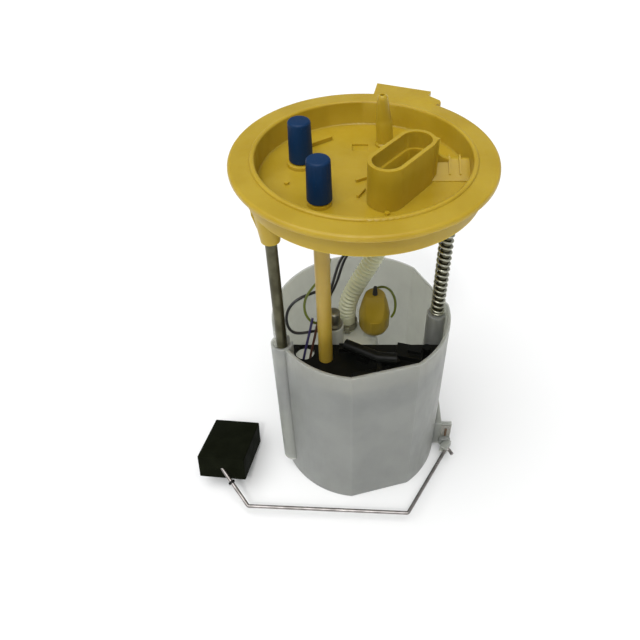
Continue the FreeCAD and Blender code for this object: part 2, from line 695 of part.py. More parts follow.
# Pump: a steel can with moulded ends, mounted upright on a rubber cup inside the pot.
pump = (S["pumpX"], S["pumpY"])
r = S["pumpRadius"]
low = S["canBottom"]
high = S["canTop"]
bore = S["shaftRadius"] + S["shaftPlay"]

isolator = body("pump_isolator", *pump)
turned(isolator, [(11, 8), (r + 1.7, 8), (r + 1.7, 20), (r + 0.1, 20), (r + 0.1, low - 12), (11, low - 12)])

strainer = body("inlet_strainer", *pump)
tube(strainer, 3.0, 13.4, S["potFloor"], 7.4)

inlet = body("pump_inlet_cap", *pump)
turned(inlet, [(bore, low - 12), (r, low - 12), (r, low), (16.3, low), (16.3, low - 9), (bore, low - 9)])
drum(inlet, 9, 0, low - 13, 3.2, 6, cut=True)

impeller = body("pump_impeller", *pump)
tube(impeller, S["shaftRadius"], 15.8, low - 8, low - 4)
for i in range(12):
    turn = i * 30.0
    slot = sketch(impeller, "XY", 0, 0, low - 9, turn)
    outline(slot, [(12.6, -1.1), (17, -1.1), (17, 1.1), (12.6, 1.1)])
    extrude(impeller, slot, 6, cut=True)

plate = body("pump_plate", *pump)
tube(plate, bore, 16.3, low - 3.4, low)
drum(plate, -9, 0, low - 4, 2.4, 6, cut=True)

can = body("pump_can", *pump)
tube(can, r - 1, r, low, high)
soften(can, 0.4, ring_at(r, high))

magnet_low = low + 14
for name, side in (("left", 1), ("right", -1)):
    magnet = body("pump_magnet_" + name, *pump)
    tube(magnet, r - 4.2, r - 1, magnet_low, magnet_low + 38)
    block(magnet, side * 20, 0, magnet_low - 1, 44, 44, 40, cut=True)

shaft = body("pump_shaft", *pump)
s = S["shaftRadius"]
turned(shaft, [(0, low - 11.5), (s, low - 11.5), (s, high + 7), (s - 0.5, high + 7.5), (0, high + 7.5)])

armature = body("pump_armature", *pump)
tube(armature, s, r - 5.0, low + 17, low + 47)
for i in range(8):
    slot = sketch(armature, "XY", 0, 0, low + 16, i * 45.0)
    outline(slot, [(9, -0.9), (16, -0.9), (16, 0.9), (9, 0.9)])
    extrude(armature, slot, 32, cut=True)

commutator = body("pump_commutator", *pump)
tube(commutator, s, 7.0, low + 50, low + 59)

for name, side in (("left", -1), ("right", 1)):
    brush = body("pump_brush_" + name, *pump)
    block(brush, side * 10.4, 0, low + 52, 6.2, 4.5, high - low - 52)

top_cap = body("pump_top_cap", *pump)
turned(top_cap, [
    (0, high + 12),
    (0, high + 8),
    (bore, high + 8),
    (bore, high - 2),
    (4, high - 2),
    (4, high),
    (r, high),
    (r, high + 5),
    (r - 2, high + 8.5),
    (r - 8, high + 12),
])
outlet = (-2.0, 7.0)
hose_bore = S["hoseRadius"] - 1.35
drum(top_cap, outlet[0], outlet[1], high + 6, hose_bore - 0.05, 24)
drum(top_cap, outlet[0], outlet[1], high - 1, 2.2, 32, cut=True)
tower = (-10.5, -16.0)
drum(top_cap, tower[0], tower[1], high + 2, 6.2, 36)
drum(top_cap, tower[0], tower[1], high + 30, 4.7, 10, cut=True)
block(top_cap, 13.5, 2.0, high + 4, 9, 7, 14)

regulator = body("pressure_regulator", *pump)
turned(regulator, [(0, high + 30), (4.6, high + 30), (4.6, high + 38.3), (5.7, high + 38.3),
                   (5.7, high + 40), (4.2, high + 40), (4.2, high + 49), (3.0, high + 50),
                   (0, high + 50)], *tower)

plug = body("pump_plug", S["pumpX"] + 16, S["pumpY"] + 2)
plug_low = high + 18
turned(plug, [(0, plug_low), (8.6, plug_low), (10.0, plug_low + 3), (10.2, plug_low + 14),
              (8.6, plug_low + 22), (6.6, plug_low + 29), (6.0, plug_low + 29.6), (0, plug_low + 29.6)])
slope = sketch(plug, "YZ", 0, 0, -12)
outline(slope, [(-16, plug_low + 13), (-9.6, plug_low + 13), (-2.6, plug_low + 31), (-16, plug_low + 31)])
extrude(plug, slope, 24, cut=True)
boot = body("plug_boot", S["pumpX"] + 16, S["pumpY"] + 2)
turned(boot, [(0, plug_low + 29.6), (1.7, plug_low + 29.6), (1.1, plug_low + 36), (0, plug_low + 36)])

# Black cover over the front of the pot with the jet-pump elbow on top of it.
cover = body("jet_pump_cover")
gap = 0.4
sheet_edge = sketch(cover, "XY", 0, 0, S["coverTop"] - 22)
flatted(sheet_edge, S["potRadius"] - S["potWall"] - gap, S["flatReach"] - S["potWall"] - gap, flats)
extrude(cover, sheet_edge, 22)
under_side = sketch(cover, "XY", 0, 0, S["coverTop"] - 23)
flatted(under_side, S["potRadius"] - S["potWall"] - gap - 2, S["flatReach"] - S["potWall"] - gap - 2, flats)
extrude(cover, under_side, 19.7, cut=True)
rear = sketch(cover, "XY", 0, 0, S["coverTop"] - 24)
outline(rear, [(-70, S["coverEdge"]), (70, S["coverEdge"]), (70, 70), (-70, 70)])
extrude(cover, rear, 30, cut=True)
drum(cover, S["rodX"], S["rodY"], S["coverTop"] - 24, S["channelRadius"] + 0.6, 30, cut=True)
drum(cover, S["frontNippleX"], S["frontNippleY"], S["coverTop"] - 24, S["pipeRadius"] + 0.35, 30, cut=True)
top_face = S["coverTop"] - 0.5
block(cover, 30, -24, top_face, 17, 11, 4.5, turn=-14)
block(cover, 33, -24.5, top_face, 8, 5, 7.5, turn=-14)
block(cover, 5, -42, top_face, 22, 7, 3.5, turn=15)
block(cover, -8, -19.5, top_face, 12, 5, 4)
block(cover, 18, -30, top_face, 9, 9, 4.2, turn=24)
drum(cover, 14, -39.5, top_face, 3.4, 4.3)
drum(cover, 41, -21.5, top_face, 2.6, 5.5)
drum(cover, -33, -34, top_face, 2.6, 2.5)
drum(cover, -35.5, -21.5, S["coverTop"] - 24, 6, 30, cut=True)

elbow = body("jet_pump_elbow")
level = S["coverTop"] + 7.4
piped(elbow, "XY", [(-10.0, -21.5), (10.0, -32.5), (21.5, -33.5)], 9, 3.5, bore=2.3, shift=level)
block(elbow, 1.0, -28.0, S["coverTop"], 7, 4.4, level - 3.2 - S["coverTop"], turn=-26)
block(elbow, 10.5, -37.5, level - 3.4, 3.2, 10, 2.2, turn=4)

# Check flap under the pump: a rubber disc that closes the inlet hole in the pot floor.
flap = body("inlet_flap", *pump)
turned(flap, [(0, 1.2), (6.0, 1.2), (6.0, 2.2), (0, 2.2)])

# Corrugated hose between the pump outlet and the spigot under the flange, with its two clamps.
x0, y0 = S["pumpX"] + outlet[0], S["pumpY"] + outlet[1]
dx, dy = S["hoseTopX"] - x0, S["hoseTopY"] - y0
span = math.hypot(dx.value, dy.value)
span_size = Size(span, "sqrt(%s^2 + %s^2)" % (dx.text, dy.text))
heading = Size(math.degrees(math.atan2(dy.value, dx.value)), "atan2(%s; %s)" % (dy.text, dx.text))
hose = body("corrugated_hose", x0, y0, 0, heading)
piped(hose, "XZ", [(0, high + 12.6), (0, high + 41), (span_size, under - 60), (span_size, under - 0.4)], 24,
      S["hoseRadius"], bore=hose_bore)
for name, x, y, level in (("lower", x0, y0, high + 15), ("upper", S["hoseTopX"], S["hoseTopY"], under - 9)):
    clamp = body("hose_clamp_" + name, x, y)
    tube(clamp, S["hoseRadius"] + 0.05, S["hoseRadius"] + 0.9, level, level + 5)
    block(clamp, 0, -(S["hoseRadius"] + 1.6), level, 3.2, 2.4, 5)

# Level sender on the pot's right flank: housing, resistor card, pivot pin and the swinging lever.
arm = S["armHeight"]
px = S["pivotX"]
sender = body("sender_housing")
block(sender, 54.5, 0.2, 3, 12, 27.4, 25)
block(sender, px - 2, -12.0, 3, 12, 3.0, 24)
drum(sender, 0, 0, 2, S["potRadius"], 30, cut=True)
lug = sketch(sender, "XZ", px, arm, 9)
circle(lug, 0, 0, 1.5)
extrude(sender, lug, 8, cut=False)

card = body("resistor_card")
block(card, px + 0.2, -13.7, arm + 5, 7, 0.4, 12)

lever = body("sender_lever")
hub = sketch(lever, "XZ", px, arm, 14.4)
circle(hub, 0, 0, 4.6)
circle(hub, 0, 0, 1.55)
extrude(lever, hub, 2.8)
block(lever, px + 0.2, -20.2, arm - 3.2, 8.6, 5.4, 6.4, turn=58.7)
pin_bore = sketch(lever, "XZ", px, arm, 14.3)
circle(pin_bore, 0, 0, 1.55)
extrude(lever, pin_bore, 3.2, cut=True)

wiper = body("sender_wiper")
block(wiper, px, -14.25, arm + 3.4, 1.6, 0.3, 10)


def space_path(points, bend):
    """Builds a centre line in space with rounded bends at the inner corners."""
    edges = []
    start = points[0]
    for i in range(1, len(points) - 1):
        before = (points[i] - points[i - 1]).normalize()
        after = (points[i + 1] - points[i]).normalize()
        turn = before.getAngle(after)
        back = bend * math.tan(turn / 2)
        first = points[i] - before * back
        last = points[i] + after * back
        middle = points[i] + (after - before).normalize() * (bend / math.cos(turn / 2) - bend)
        edges.append(Part.LineSegment(start, first).toShape())
        edges.append(Part.Arc(first, middle, last).toShape())
        start = last
    edges.append(Part.LineSegment(start, points[-1]).toShape())
    return Part.Wire(edges)


def free_form(label, path, radius):
    """Makes a solid of round section along a centre line in space, as one part of its own."""
    edge = path.Edges[0]
    start = edge.valueAt(edge.FirstParameter)
    along = edge.tangentAt(edge.FirstParameter)
    section = Part.Wire(Part.makeCircle(radius, start, along))
    item = doc.addObject("Part::Feature", label)
    item.Label = label
    item.Shape = path.makePipeShell([section], True, True)
    bodies.append(item)
    return item


def strand(label, points, radius):
    """Makes one insulated wire through the given points."""
    curve = Part.BSplineCurve()
    curve.interpolate([V(*point) for point in points])
    return free_form(label, Part.Wire(curve.toShape()), radius)


# Float arm: one steel wire bent in space, so it is built along its own centre line.
h = arm.value
arm_points = [V(-102.8, -40.3, h + 13.7), V(-77.9, -69.4, h), V(32.8, -74.7, h),
              V(px.value + 1.5, -21.0, h), V(px.value + 4.5, -27.4, h)]
free_form("float_wire", space_path(arm_points, 1.9), S["armRadius"].value)

# Float: a closed-cell block hung on the end of the arm, and the push-on clip that keeps it there.
float_block = body("float", -95.3, -26.3, 14.7)
tilt = FreeCAD.Rotation(V(0, 0, 1), -6.8).multiply(FreeCAD.Rotation(V(0, 1, 0), -2.4))
tilt = tilt.multiply(FreeCAD.Rotation(V(1, 0, 0), -16.6))
float_block.Placement = FreeCAD.Placement(float_block.Placement.Base, tilt)
block(float_block, 0, 0, -S["floatThick"] / 2, S["floatWidth"], S["floatLength"], S["floatThick"])
soften(float_block, 0.8, lambda edge: True)
retainer = body("float_retainer", -90.3, -55.0, h + 6.9)
lean = FreeCAD.Rotation(V(0, 0, 1), (arm_points[0] - arm_points[1]).normalize())
retainer.Placement = FreeCAD.Placement(retainer.Placement.Base, lean)
tube(retainer, S["armRadius"], S["armRadius"] + 1.1, -0.8, 0.8)

# Loose insulated wires: two supply wires from the flange and the looms inside the pot.
strand("wire_supply_left",
       [(15.4, -18.2, 220.6), (12.0, -13.5, 206.5), (-3.0, -4.0, 186.0), (-12.5, 3.0, 170.5),
        (-18.5, 1.5, 150.0), (-24.5, 0.0, 132.0), (-26.0, -0.5, 112.0), (-23.6, -0.8, 95.6)], 0.9)
strand("wire_supply_right",
       [(11.7, -16.0, 220.6), (9.5, -11.0, 207.0), (0.0, -1.8, 185.8), (-9.5, 6.0, 169.7),
        (-15.5, 5.5, 150.0), (-21.5, 5.0, 134.0), (-25.4, 5.0, 112.0), (-26.2, 5.0, 96.6)], 0.9)
strand("wire_loop_black",
       [(-24.6, -2.5, 151.0), (-32.6, -6.0, 150.0), (-40.9, -10.0, 147.6), (-45.0, -13.0, 143.0),
        (-46.0, -16.0, 137.0), (-42.6, -18.0, 130.0), (-31.2, -16.0, 128.0), (-26.0, -12.0, 124.0)], 0.9)
strand("wire_loop_green",
       [(-19.0, -1.7, 174.7), (-24.5, -4.7, 162.7), (-31.2, -7.7, 154.7), (-35.0, -10.7, 144.7),
        (-33.8, -13.7, 139.7), (-27.5, -14.3, 133.7)], 0.8)
strand("plug_lead_green",
       [(10.2, 18.8, 133.0), (19.0, 15.0, 134.5), (22.4, 11.0, 128.0), (20.0, 7.0, 118.0)], 0.8)
strand("wire_violet",
       [(-30.0, -16.5, 140.0), (-32.6, -19.4, 128.0), (-36.0, -22.5, 113.0), (-38.0, -24.0, 98.0)], 0.8)
strand("wire_brown",
       [(-26.5, -15.5, 138.0), (-29.0, -18.0, 126.0), (-32.0, -21.0, 112.0), (-34.5, -22.5, 98.0)], 0.8)

doc.recompute()
os.makedirs("parts", exist_ok=True)
for item in doc.Objects:
    if "Invalid" in item.State or "Error" in item.State:
        raise RuntimeError("%s did not recompute" % item.Label)
for part in bodies:
    shape = part.Shape
    if shape.isNull() or not shape.isValid() or len(shape.Solids) != 1:
        raise RuntimeError("%s is not one good solid" % part.Label)
    shape.exportStep(os.path.join("parts", part.Label + ".step"))
    print(part.Label, round(shape.Volume, 1))
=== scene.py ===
import json
import math
import bmesh
import bpy
from mathutils import Matrix, Vector

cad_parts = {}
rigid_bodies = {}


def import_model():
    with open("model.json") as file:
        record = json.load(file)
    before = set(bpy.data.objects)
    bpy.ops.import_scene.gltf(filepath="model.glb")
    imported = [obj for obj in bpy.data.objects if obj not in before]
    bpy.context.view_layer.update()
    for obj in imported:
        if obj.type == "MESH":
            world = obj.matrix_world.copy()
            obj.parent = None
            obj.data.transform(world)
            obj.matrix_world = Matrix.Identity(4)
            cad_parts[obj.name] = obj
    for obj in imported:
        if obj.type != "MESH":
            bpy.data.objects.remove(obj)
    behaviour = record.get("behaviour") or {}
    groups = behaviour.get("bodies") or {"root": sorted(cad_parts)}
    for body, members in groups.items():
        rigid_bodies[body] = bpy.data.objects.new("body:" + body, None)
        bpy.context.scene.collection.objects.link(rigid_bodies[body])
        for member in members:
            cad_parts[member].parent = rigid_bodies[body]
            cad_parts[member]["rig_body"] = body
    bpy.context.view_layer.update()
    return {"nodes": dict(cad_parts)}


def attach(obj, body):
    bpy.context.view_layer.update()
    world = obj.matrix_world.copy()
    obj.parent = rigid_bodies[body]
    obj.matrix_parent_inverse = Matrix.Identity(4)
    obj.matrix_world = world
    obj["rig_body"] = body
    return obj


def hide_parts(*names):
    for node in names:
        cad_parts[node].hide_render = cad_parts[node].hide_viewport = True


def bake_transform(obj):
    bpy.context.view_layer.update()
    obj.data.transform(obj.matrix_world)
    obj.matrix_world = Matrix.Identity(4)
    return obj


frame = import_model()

# Photographer's corner: the module stands on a white table under one broad soft light and a weak lamp from
# the front, with the room kept dim so that the undersides fall into shade. The camera looks down on it from
# the front as in the photograph.
mm = 0.001
scene = bpy.context.scene
scene.view_settings.view_transform = "Standard"
camera = bpy.data.cameras.new("photo_camera")
camera.sensor_width = 36.0
camera.lens = 35.70
camera.shift_x = -0.0472
camera.shift_y = -0.0048
camera.clip_start = 0.01
photo_camera = bpy.data.objects.new("photo_camera", camera)
photo_camera.location = (-7 * mm, -291 * mm, 412.2 * mm)
photo_camera.rotation_euler = (math.radians(45.38), 0, 0)
scene.collection.objects.link(photo_camera)
scene.camera = photo_camera

world = bpy.data.worlds.new("dim_room")
world.use_nodes = True
world.node_tree.nodes["Background"].inputs["Color"].default_value = (0.97, 0.99, 1.0, 1.0)
world.node_tree.nodes["Background"].inputs["Strength"].default_value = 0.36
scene.world = world


def distant_light(name, heading, strength, spread):
    """Lights the whole scene evenly along one heading; a wide spread gives soft shadows."""
    lamp = bpy.data.lights.new(name, "SUN")
    lamp.energy = strength
    lamp.angle = math.radians(spread)
    stand = bpy.data.objects.new(name, lamp)
    stand.rotation_euler = Vector(heading).to_track_quat("-Z", "Y").to_euler()
    scene.collection.objects.link(stand)


distant_light("overhead", (0.22, 0.30, -1.0), 2.45, 75)
distant_light("front_lamp", (0.12, 0.75, -1.0), 0.5, 7)

table = bpy.data.meshes.new("table_top")
reach = 12.0
level = -0.4 * mm
table.from_pydata([(-reach, -reach, level), (reach, -reach, level), (reach, reach, level),
                   (-reach, reach, level)], [], [(0, 1, 2, 3)])
table_top = bpy.data.objects.new("table_top", table)
scene.collection.objects.link(table_top)


# Flange: one golden-yellow acetal moulding that closes the tank and is clamped by a lock ring on its rim.
# Satin from the tool, with cloudy pigment, shallow sink marks over the ribs and the finest grain in the skin.
class Level:
    """One number of a node tree, so that masks, grains and radii can be worked out as plain sums."""

    def __init__(self, board, socket):
        self.board = board
        self.socket = socket

    def maths(self, operation, first, second):
        node = self.board.add("ShaderNodeMath", {"operation": operation}, {0: first, 1: second})
        return Level(self.board, node.outputs[0])

    def __add__(self, other):
        return self.maths("ADD", self, other)

    def __radd__(self, other):
        return self.maths("ADD", other, self)

    def __sub__(self, other):
        return self.maths("SUBTRACT", self, other)

    def __rsub__(self, other):
        return self.maths("SUBTRACT", other, self)

    def __mul__(self, other):
        return self.maths("MULTIPLY", self, other)

    def __rmul__(self, other):
        return self.maths("MULTIPLY", other, self)

    def __truediv__(self, other):
        return self.maths("DIVIDE", self, other)

    def sine(self):
        return self.maths("SINE", self, 0.0)


class Board:
    """A node tree under construction."""

    def __init__(self, tree):
        self.tree = tree

    def add(self, kind, settings=None, sockets=None):
        """Adds a node of the given type, sets it up and fills its sockets with values or links."""
        node = self.tree.nodes.new(kind)
        for name, value in (settings or {}).items():
            setattr(node, name, value)
        for socket, value in (sockets or {}).items():
            if isinstance(value, Level):
                value = value.socket
            if isinstance(value, bpy.types.NodeSocket):
                self.tree.links.new(value, node.inputs[socket])
            else:
                node.inputs[socket].default_value = value
        return node

    def limits(self, level, low, high, smooth="SMOOTHSTEP"):
        """Spreads the part of a level between low and high over 0 to 1."""
        node = self.add("ShaderNodeMapRange", {"interpolation_type": smooth},
                        {"Value": level, "From Min": low, "From Max": high})
        return Level(self, node.outputs[0])


class Paint(Board):
    """A material under construction: its tree, its shader and the few ways in which a finish is varied."""

    def __init__(self, name, roughness=0.5, metallic=0.0, **fixed):
        self.material = bpy.data.materials.new(name)
        self.material.use_nodes = True
        super().__init__(self.material.node_tree)
        self.shader = self.tree.nodes["Principled BSDF"]
        self.shader.inputs["Roughness"].default_value = roughness
        self.shader.inputs["Metallic"].default_value = metallic
        for socket, value in fixed.items():
            self.shader.inputs[socket.replace("_", " ")].default_value = value
        self.place = self.add("ShaderNodeTexCoord").outputs["Object"]

    def noise(self, size, detail=3.0, stretch=(1, 1, 1)):
        """Cloudy grain with lumps of about the given size in metres."""
        spot = self.add("ShaderNodeMapping", {}, {"Vector": self.place, "Scale": stretch})
        node = self.add("ShaderNodeTexNoise", {},
                        {"Vector": spot.outputs[0], "Scale": 1 / size, "Detail": detail})
        return Level(self, node.outputs["Fac"])

    def cells(self, size):
        """Distance to the nearest of many scattered points, for pores and specks."""
        node = self.add("ShaderNodeTexVoronoi", {"feature": "F1"},
                        {"Vector": self.place, "Scale": 1 / size})
        return Level(self, node.outputs["Distance"])

    def bands(self, direction, scale):
        """Even stripes that follow each other along one direction; a larger scale makes them narrower."""
        node = self.add("ShaderNodeTexWave", {"wave_type": "BANDS", "bands_direction": direction},
                        {"Scale": scale})
        return Level(self, node.outputs["Fac"])

    def mix(self, level, one, two):
        """Blends two colours by a level."""
        return self.add("ShaderNodeMix", {"data_type": "RGBA"}, {0: level, 6: one, 7: two}).outputs[2]

    def set(self, socket, value):
        """Feeds one of the shader's sockets."""
        value = value.socket if isinstance(value, Level) else value
        self.tree.links.new(value, self.shader.inputs[socket])

    def relief(self, height, depth):
        """Turns a grain into fine relief of the given depth in metres."""
        node = self.add("ShaderNodeBump", {}, {"Height": height, "Strength": 1.0, "Distance": depth})
        self.set("Normal", node.outputs[0])


def rgb(red, green, blue):
    return (red, green, blue, 1.0)


def moulded(name, colour, shade, rough, grain=0.35 * mm, dust=0.0, **fixed):
    """Injection-moulded plastic: cloudy colour, sink marks, skin grain, rubbed patches and settled dust."""
    paint = Paint(name, rough, **fixed)
    clouds = paint.noise(24 * mm, 4.0)
    sinks = paint.noise(11 * mm, 1.0)
    skin = paint.noise(grain, 2.0)
    rubs = paint.noise(5 * mm, 5.0, (1, 1, 0.35))
    drags = paint.limits(paint.noise(0.7 * mm, 2.0, (1, 1, 0.04)), 0.58, 0.74)
    base = paint.mix(paint.limits(clouds, 0.3, 0.72), colour, shade)
    if dust:
        dusty = paint.limits(paint.noise(9 * mm), 0.45, 0.7)
        specks = paint.limits(paint.cells(1.7 * mm), 0.16, 0.05) * dusty
        base = paint.mix(specks * dust, base, rgb(0.34, 0.33, 0.30))
    paint.set("Base Color", base)
    paint.set("Roughness", rough - 0.07 + paint.limits(rubs, 0.35, 0.7) * 0.13 + drags * 0.1)
    paint.relief(sinks * 4.0 + skin * 0.7 - drags * 0.5, 0.014 * mm)
    return paint.material


yellow_acetal = moulded("yellow_acetal", rgb(0.45, 0.312, 0.024), rgb(0.405, 0.272, 0.013), 0.38,
                        dust=0.15, Specular_IOR_Level=0.34, Subsurface_Weight=0.5,
                        Subsurface_Radius=(0.003, 0.0026, 0.0006), Subsurface_Scale=1.0)


def show(name, mesh, finish, body, slot, nodes=(), low=None, high=None):
    """Puts a finished mesh into the scene: it rides on one body, or, when low is given, stays fixed where it
    stands; high is not used."""
    piece = bpy.data.objects.new(name, mesh)
    scene.collection.objects.link(piece)
    mesh.materials.clear()
    mesh.materials.append(finish)
    if low is None:
        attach(piece, body)
    else:
        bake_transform(piece)
    if nodes:
        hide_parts(*nodes)
    return piece


def dressed(node, finish, slot, edge=0.3 * mm, sharp=32, **span):
    """Makes a piece from a part of the frame: the same form with a closed skin, and with every corner of more
    than sharp degrees softened by a bevel of width edge."""
    source = frame["nodes"][node]
    mesh = source.data.copy()
    skin = bmesh.new()
    skin.from_mesh(mesh)
    bmesh.ops.remove_doubles(skin, verts=skin.verts, dist=1e-6)
    bmesh.ops.dissolve_limit(skin, angle_limit=math.radians(0.6), verts=skin.verts, edges=skin.edges)
    skin.to_mesh(mesh)
    skin.free()
    mesh.shade_smooth()
    mesh.set_sharp_from_angle(angle=math.radians(sharp))
    piece = show(node + "_skin", mesh, finish, source["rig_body"], slot, [node], **span)
    if edge:
        bevel = piece.modifiers.new("soft_edges", "BEVEL")
        bevel.width = edge
        bevel.segments = 2
        bevel.limit_method = "ANGLE"
        bevel.angle_limit = math.radians(sharp)
        bevel.harden_normals = True
    return piece


dressed("flange", yellow_acetal, "yellow_pom", 0.35 * mm)

# Contact blades at the bottom of the socket: stamped brass strip, tinned, pressed through the moulding from
# below. They are dull from storage, with the brass just showing where the tin is thin.
tin = Paint("tinned_brass", 0.34, 1.0)
tin.set("Base Color", tin.mix(tin.limits(tin.noise(1.5 * mm, 4.0), 0.4, 0.7), rgb(0.50, 0.48, 0.43),
                              rgb(0.42, 0.34, 0.18)))
tin.relief(tin.noise(0.15 * mm, 2.0, (0.1, 1, 1)), 0.004 * mm)
for number in range(1, 5):
    dressed("contact_blade_%d" % number, tin.material, "tinned", 0.1 * mm)


# Guide rods and their stop clips: ground steel bar pressed into the flange, running in the pot's guides. The
# plating has gone grey, with grinding lines round the bar and brownish storage stains.
def steel(name, bright, dull, rough, patch, lines, stretch):
    """Bare or plated metal: patchy tarnish over fine tool lines."""
    paint = Paint(name, rough, 1.0)
    marks = paint.noise(lines, 3.0, stretch)
    stain = paint.limits(paint.noise(patch, 5.0), 0.32, 0.72)
    paint.set("Base Color", paint.mix(stain, bright, dull))
    paint.set("Roughness", rough - 0.08 + marks * 0.12 + stain * 0.12)
    paint.relief(marks, 0.006 * mm)
    return paint.material


rod_steel = steel("ground_steel", rgb(0.115, 0.11, 0.07), rgb(0.07, 0.065, 0.04), 0.36,
                  patch=9 * mm, lines=0.5 * mm, stretch=(0.2, 0.2, 3))
for node in ("guide_rod_left", "guide_rod_right", "rod_clip_left", "rod_clip_right"):
    dressed(node, rod_steel, "rod_steel", 0.15 * mm)


# Return spring: drawn steel wire wound round the right rod, with one closed coil at each end. It sits free
# between the guide post and the cup under the flange and is squeezed as the flange goes down. Its radius,
# wire and ends are those of the solid that it replaces.
class Growth(Board):
    """A Geometry Nodes tree under construction, with named inputs that its modifier sets."""

    def __init__(self, name, inputs):
        super().__init__(bpy.data.node_groups.new(name, "GeometryNodeTree"))
        face = self.tree.interface
        face.new_socket("Geometry", in_out="INPUT", socket_type="NodeSocketGeometry")
        for word in inputs:
            face.new_socket(word, in_out="INPUT", socket_type="NodeSocketFloat")
        face.new_socket("Material", in_out="INPUT", socket_type="NodeSocketMaterial")
        face.new_socket("Geometry", in_out="OUTPUT", socket_type="NodeSocketGeometry")
        self.feed = self.add("NodeGroupInput").outputs

    def given(self, word):
        return Level(self, self.feed[word])

    def end(self, geometry):
        """Closes the tree: smooth shading, real geometry and the material."""
        smooth = self.add("GeometryNodeSetShadeSmooth", {}, {"Geometry": geometry})
        real = self.add("GeometryNodeRealizeInstances", {}, {"Geometry": smooth.outputs[0]})
        coat = self.add("GeometryNodeSetMaterial", {},
                        {"Geometry": real.outputs[0], "Material": self.feed["Material"]})
        self.add("NodeGroupOutput", {}, {"Geometry": coat.outputs[0]})

    def grow(self, start, values, shift=(0, 0, 0)):
        """Runs the tree on a helper object and gives back the plain mesh, moved to its place."""
        scene.collection.objects.link(start)
        run = start.modifiers.new("grow", "NODES")
        run.node_group = self.tree
        for item in self.tree.interface.items_tree:
            if item.in_out == "INPUT" and item.name in values:
                run[item.identifier] = values[item.name]
        ready = start.evaluated_get(bpy.context.evaluated_depsgraph_get())
        mesh = bpy.data.meshes.new_from_object(ready)
        mesh.transform(Matrix.Translation(shift))
        bpy.data.objects.remove(start)
        return mesh


coil = Growth("closed_end_coil", ["Height", "Turns", "Radius", "Wire"])
wire = coil.given("Wire")
turns = coil.given("Turns")
spiral = coil.add("GeometryNodeCurveSpiral", {},
                  {"Resolution": 40, "Rotations": turns, "Start Radius": coil.given("Radius"),
                   "End Radius": coil.given("Radius"), "Height": 0.0})
way = Level(coil, coil.add("GeometryNodeSplineParameter").outputs["Factor"]) * turns
first = coil.limits(way, 0.0, 1.0, "LINEAR")
middle = coil.limits(way, 1.0, turns - 1.0, "LINEAR")
last = coil.limits(way, turns - 1.0, turns, "LINEAR")
rise = (first + last) * wire + middle * (coil.given("Height") - wire * 2.0)
lift = coil.add("ShaderNodeCombineXYZ", {}, {"Z": rise})
wound = coil.add("GeometryNodeSetPosition", {},
                 {"Geometry": spiral.outputs[0], "Offset": lift.outputs[0]})
section = coil.add("GeometryNodeCurvePrimitiveCircle", {}, {"Resolution": 14, "Radius": wire * 0.5})
round_wire = coil.add("GeometryNodeCurveToMesh", {},
                      {"Curve": wound.outputs[0], "Profile Curve": section.outputs[0], "Fill Caps": True})
coil.end(round_wire.outputs[0])
spring_steel = steel("drawn_wire", rgb(0.56, 0.56, 0.46), rgb(0.36, 0.36, 0.28), 0.3,
                     patch=5 * mm, lines=0.4 * mm, stretch=(1, 1, 1))
spring_mesh = coil.grow(bpy.data.objects.new("coil_start", bpy.data.meshes.new("coil_start")),
                        {"Height": 100.6 * mm, "Turns": 24.5, "Radius": 3.85 * mm, "Wire": 1.5 * mm,
                         "Material": spring_steel}, (49.5 * mm, 5.5 * mm, 124.75 * mm))
show("return_spring_coil", spring_mesh, spring_steel, "reservoir", "spring_steel", ["return_spring"],
     124.0 * mm, 226.0 * mm)

# Stand-pipe: the return tube under the front nipple, a long acetal moulding pressed into its socket. It is a
# little creamier than the flange and has faint drag marks along its length.
cream = moulded("cream_acetal", rgb(0.42, 0.285, 0.035), rgb(0.37, 0.245, 0.027), 0.38, dust=0.2,
                Subsurface_Weight=0.15, Subsurface_Radius=(0.003, 0.0015, 0.0004), Subsurface_Scale=1.0)
dressed("stand_pipe", cream, "cream_pipe", 0.3 * mm)

# Transit caps: soft blue vinyl sleeves dipped on a former and pushed over the fuel nipples to keep dirt out.
# The skin is matt with small dimples and greyish rubbed spots.
blue = moulded("blue_vinyl", rgb(0.0015, 0.027, 0.088), rgb(0.0012, 0.021, 0.070), 0.5, grain=0.6 * mm,
               dust=0.2, Specular_IOR_Level=0.2)
for node in ("cap_front", "cap_rear"):
    dressed(node, blue, "blue_cap", 0.4 * mm)

# Reservoir pot, sender housing and lever: natural white acetal, faintly translucent, with drag marks up the
# walls from the tool. The housing and the lever are clipped and hinged low on the pot's right flank.
white = moulded("natural_acetal", rgb(0.28, 0.288, 0.262), rgb(0.243, 0.252, 0.231), 0.4, dust=0.2,
                Specular_IOR_Level=0.35, Subsurface_Weight=1.0, Subsurface_Radius=(0.02, 0.02, 0.018),
                Subsurface_Scale=1.0)
dressed("reservoir_pot", white, "white_pom", edge=0.7 * mm, sharp=11)
for node in ("sender_housing", "sender_lever"):
    dressed(node, white, "white_pom", 0.4 * mm)

# Rubber cup under the pump, inlet flap and plug boot: black nitrile rubber, moulded, matt and slightly dusty.
# The cup holds the pump off the pot floor, the flap is held at its middle and the boot is pushed on.
rubber = moulded("black_rubber", rgb(0.012, 0.012, 0.012), rgb(0.02, 0.02, 0.018), 0.7,
                 grain=0.5 * mm, dust=0.3)
for node in ("pump_isolator", "inlet_flap", "plug_boot"):
    dressed(node, rubber, "rubber", 0.2 * mm)

